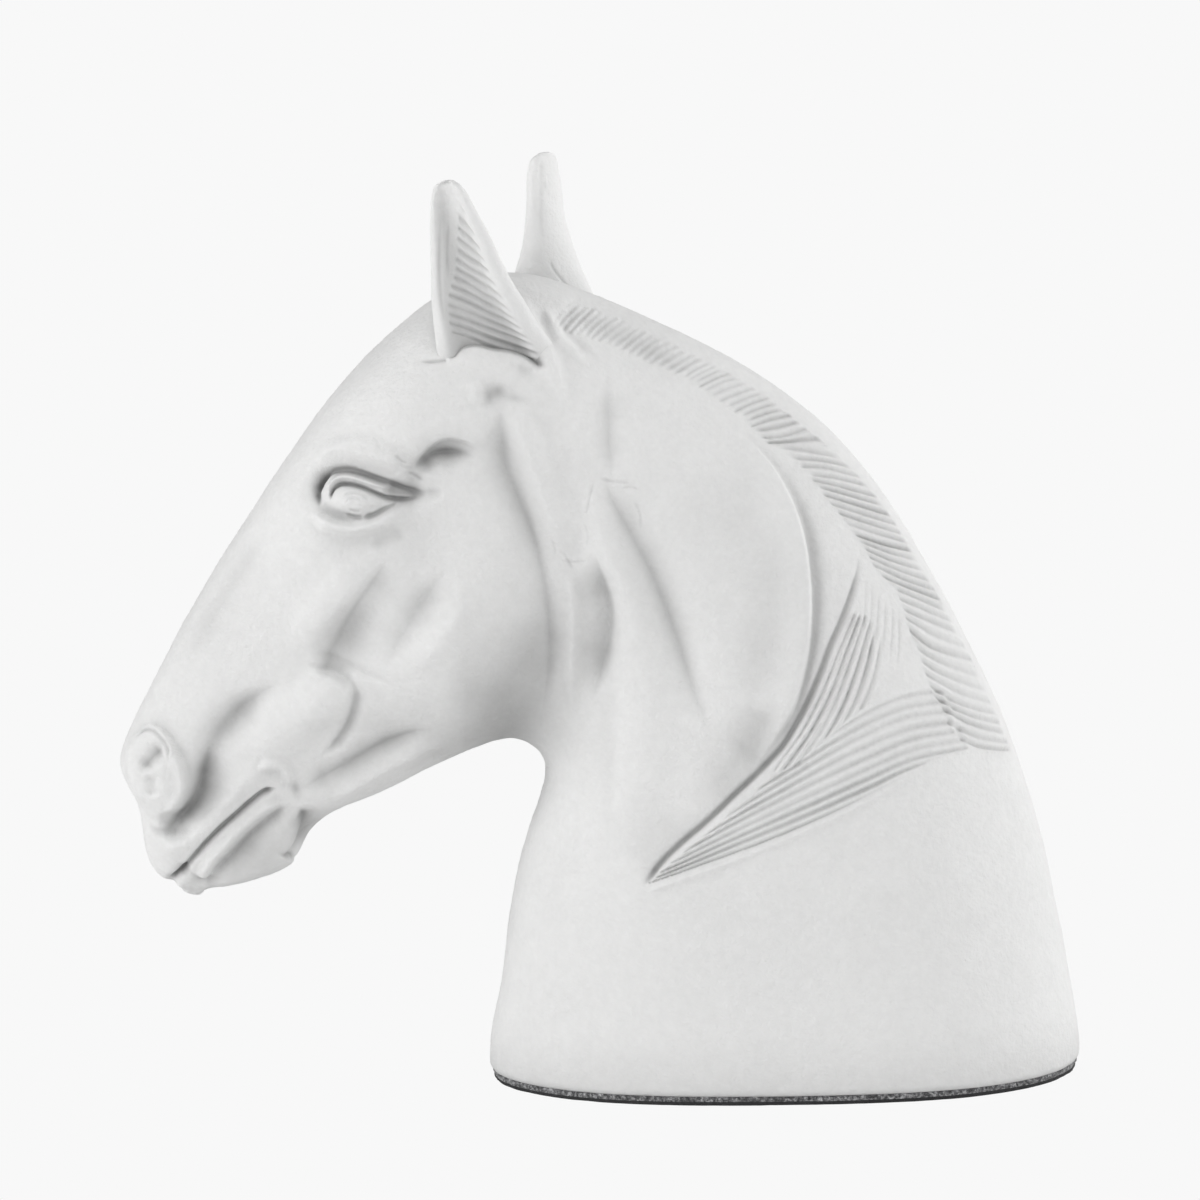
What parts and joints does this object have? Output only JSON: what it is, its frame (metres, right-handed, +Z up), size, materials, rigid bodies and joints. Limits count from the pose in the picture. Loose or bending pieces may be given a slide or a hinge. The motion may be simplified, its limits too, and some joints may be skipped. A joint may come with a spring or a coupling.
{
  "type": "horse head chess knight bust",
  "caption": "Free-standing cast horse head and neck bust, a large chess knight, hollow and weighted, with separate ears, a closing board and a felt and anti-slip pad.",
  "frame": {"origin": "centre of the resting face, on the ground plane under the pad, midway between the front and rear of the foot", "axes": "+Z up; the muzzle points to -X; the animal's left side is -Y"},
  "size_m": [0.3152, 0.1096, 0.3042],
  "materials": {
    "cast_white": "matt, plaster-like casting resin",
    "dowel_steel": "ground steel pin",
    "fibreboard": "raw fibreboard",
    "insert_brass": "turned, knurled",
    "zinc_steel": "zinc plated",
    "ballast_iron": "as cast, dark oxide",
    "grey_felt": "speckled wool felt",
    "black_sheet": "matt anti-slip sheet"
  },
  "bodies": {
    "root": {"bust_casting": "cast_white", "left_ear": "cast_white", "right_ear": "cast_white", "ear_pins": "dowel_steel", "base_board": "fibreboard", "threaded_inserts": "insert_brass", "board_screws": "zinc_steel", "ballast_weight": "ballast_iron", "ballast_bolt": "zinc_steel", "ballast_washer": "zinc_steel", "ballast_nut": "zinc_steel", "base_felt": "grey_felt", "anti_slip_sheet": "black_sheet"}
  },
  "joints": []
}
